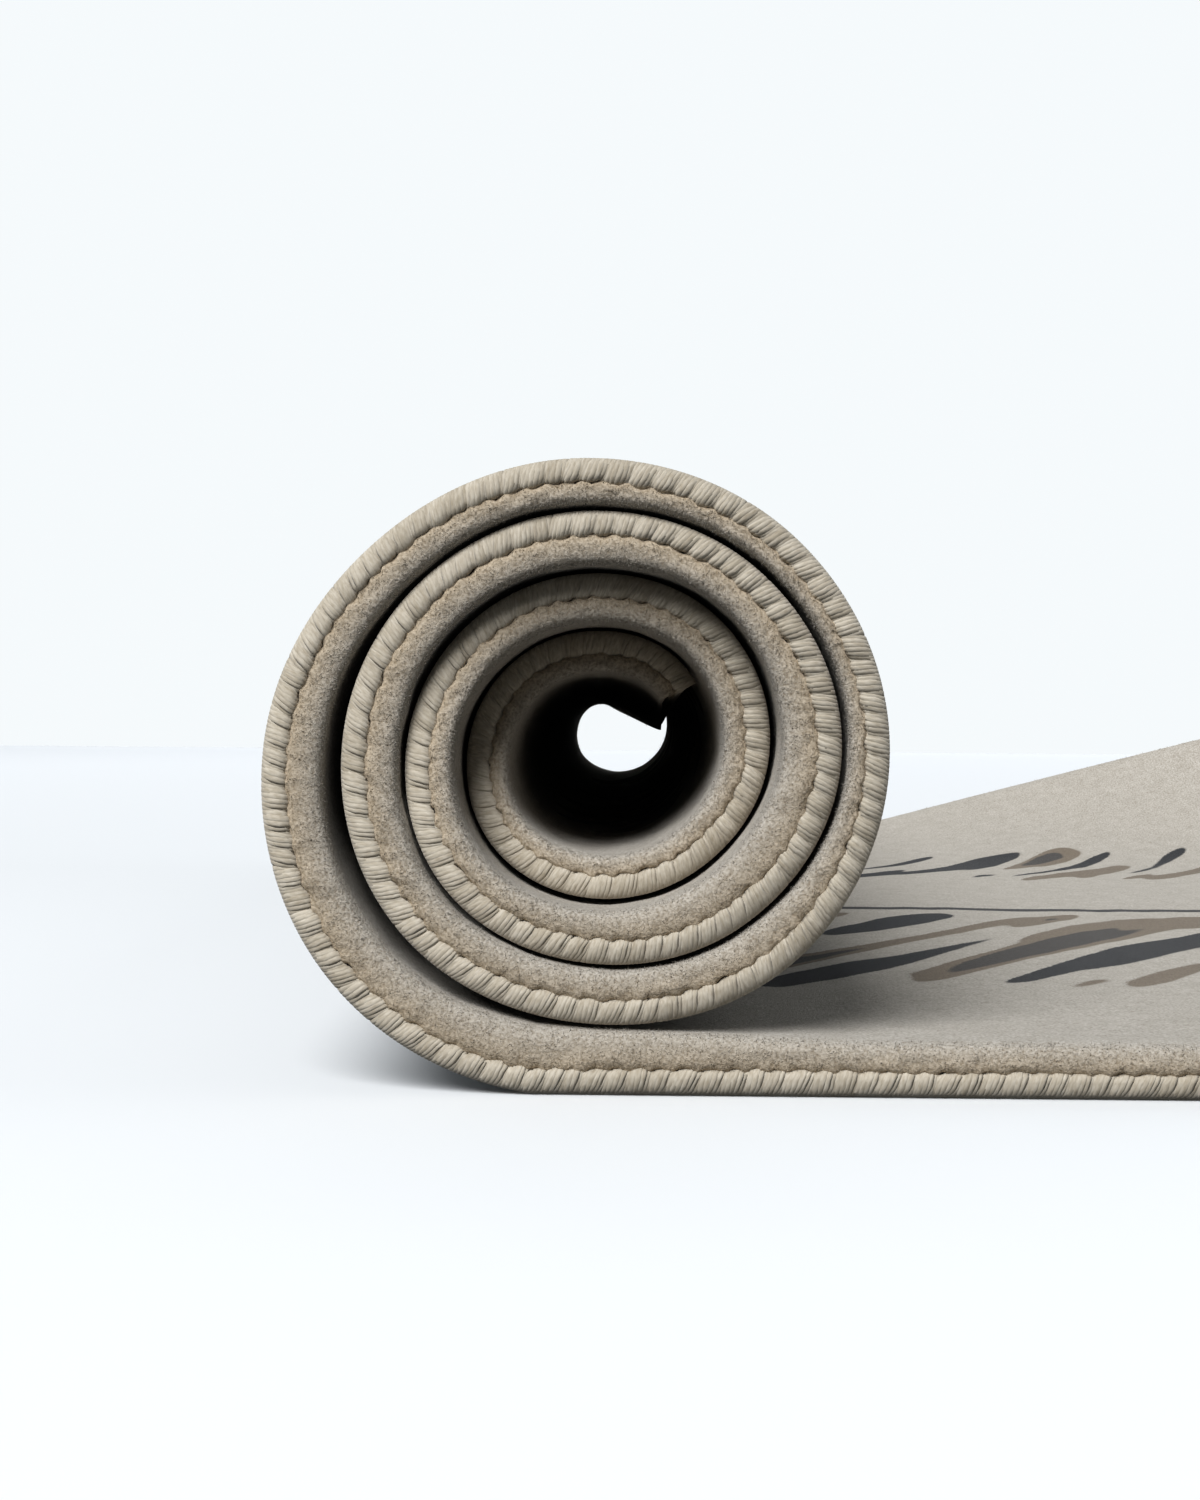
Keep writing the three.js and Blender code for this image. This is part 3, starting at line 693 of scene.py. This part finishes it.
# Painted shade: the floor's colour greys from the front towards the back.
depth = add(tree, "ShaderNodeMapRange", {"Value": floor_place.outputs["Y"], "From Min": -0.8,
                                         "From Max": 4.2})
floor_tone = add(tree, "ShaderNodeValToRGB", {"Fac": depth.outputs["Result"]})
floor_tone.color_ramp.elements[0].color = linear("#ebeef1")
floor_tone.color_ramp.elements[1].color = linear("#d0d3d7")
for position, colour in ((0.10, "#e6e9ec"), (0.24, "#dadde0")):
    floor_tone.color_ramp.elements.new(position).color = linear(colour)
tree.links.new(floor_tone.outputs["Color"], surface.inputs["Base Color"])
surface.inputs["Roughness"].default_value = 0.9
surface.inputs["Specular IOR Level"].default_value = 0.1
backdrop_white, tree, surface = new_material("backdrop_white")
surface.inputs["Base Color"].default_value = (0, 0, 0, 1)
surface.inputs["Specular IOR Level"].default_value = 0.0
surface.inputs["Emission Color"].default_value = linear("#f3f7f9")
surface.inputs["Emission Strength"].default_value = 0.86
floor_outline = np.array([[-1, -1, 0], [1, -1, 0], [1, 1, 0], [-1, 1, 0]]) * FLOOR_HALF
wall_feet = np.array([[-1, -0.2, 0], [-1, 1, 0], [1, 1, 0], [1, -0.2, 0], [1, -1, 0], [-1, -1, 0]])
wall_feet = wall_feet * BACKDROP_HALF
wall_points = np.vstack([wall_feet, wall_feet + [0, 0, BACKDROP_HEIGHT]])
for name, points, faces, material, lights in (
        ("studio_floor", floor_outline, [(0, 1, 2, 3)], studio_white, False),
        ("studio_backdrop", wall_points, [(0, 1, 7, 6), (1, 2, 8, 7), (2, 3, 9, 8)], backdrop_white, True),
        ("studio_front", wall_points, [(3, 4, 10, 9), (4, 5, 11, 10), (5, 0, 6, 11)], backdrop_white, False)):
    mesh = bpy.data.meshes.new(name)
    mesh.from_pydata(points.tolist(), [], faces)
    mesh.materials.append(material)
    sheet = bpy.data.objects.new(name, mesh)
    bpy.context.scene.collection.objects.link(sheet)
    sheet.visible_diffuse = lights
    sheet.visible_shadow = lights


# Light: one wide soft source above the roll, in front of it and to its left, in a dim pale room.
world = bpy.data.worlds.new("studio")
bpy.context.scene.world = world
world.use_nodes = True
world.node_tree.nodes["Background"].inputs["Color"].default_value = linear("#f4f8fa")
world.node_tree.nodes["Background"].inputs["Strength"].default_value = 0.12
key_data = bpy.data.lights.new("soft_key", "SUN")
key_data.energy = 3.4
key_data.angle = math.radians(36)
key = bpy.data.objects.new("soft_key", key_data)
key.rotation_mode = "QUATERNION"
key.rotation_quaternion = Vector((-0.28, -0.69, 0.67)).to_track_quat("Z", "Y")
bpy.context.scene.collection.objects.link(key)


# The camera stands a little right of the roll's axis and just above it, looking along the roll.
PHOTO_WIDTH, PHOTO_HEIGHT = 1200, 1500
VANISHING_X, VANISHING_Y = 627, 712
CAMERA_DISTANCE = 600.0
NEAR_SCALE = 0.25
CAMERA_X, CAMERA_Z = 11.75, 96.5
CAMERA_ROLL = 0.45
focal_pixels = CAMERA_DISTANCE / NEAR_SCALE
camera_data = bpy.data.cameras.new("camera")
camera_data.sensor_width = 36.0
camera_data.lens = focal_pixels / PHOTO_HEIGHT * camera_data.sensor_width
camera_data.clip_start = 0.01
camera = bpy.data.objects.new("camera", camera_data)
camera.location = Vector((CAMERA_X, NEAR_EDGE - CAMERA_DISTANCE, CAMERA_Z)) * MM
turn = math.atan((VANISHING_X - PHOTO_WIDTH / 2) / focal_pixels)
tilt = math.atan((VANISHING_Y - PHOTO_HEIGHT / 2) / focal_pixels)
camera.rotation_mode = "QUATERNION"
camera.rotation_quaternion = (Euler((math.pi / 2 + tilt, 0, turn)).to_quaternion()
                              @ Euler((0, 0, math.radians(CAMERA_ROLL))).to_quaternion())
bpy.context.scene.collection.objects.link(camera)
bpy.context.scene.camera = camera
bpy.context.scene.view_settings.view_transform = "Standard"
bpy.context.scene.view_settings.look = "Medium High Contrast"
